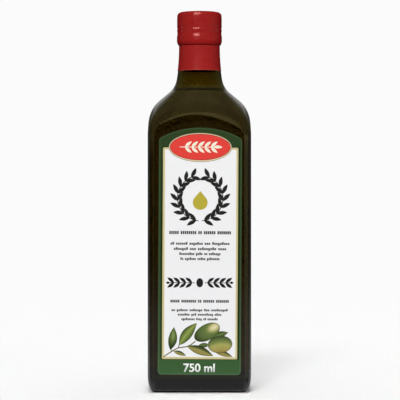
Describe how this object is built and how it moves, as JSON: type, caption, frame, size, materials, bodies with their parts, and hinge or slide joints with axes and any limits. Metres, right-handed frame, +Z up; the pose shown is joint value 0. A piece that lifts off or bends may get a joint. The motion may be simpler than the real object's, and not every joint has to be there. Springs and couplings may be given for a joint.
{
  "type": "olive oil bottle",
  "caption": "Square glass bottle of olive oil with rounded edges, sloping shoulders, a round neck, a red screw cap over a red neck sleeve, and an arched paper label on the front.",
  "frame": {"origin": "middle of the base, on the plane the bottle stands on", "axes": "+Z up along the neck, -Y towards the front with the label, +X to the right seen from the front"},
  "size_m": [0.0706, 0.0709, 0.262],
  "materials": {
    "dark_glass": "polished dark olive-brown glass",
    "oil": "clear yellow-green liquid",
    "red_lacquer": "satin red lacquer on aluminium",
    "red_sleeve": "satin red lacquer on thin aluminium",
    "label_paper": "satin printed paper"
  },
  "bodies": {
    "root": {"glass_bottle": "dark_glass", "olive_oil": "oil", "screw_cap": "red_lacquer", "neck_sleeve": "red_sleeve", "front_label": "label_paper"}
  },
  "joints": []
}
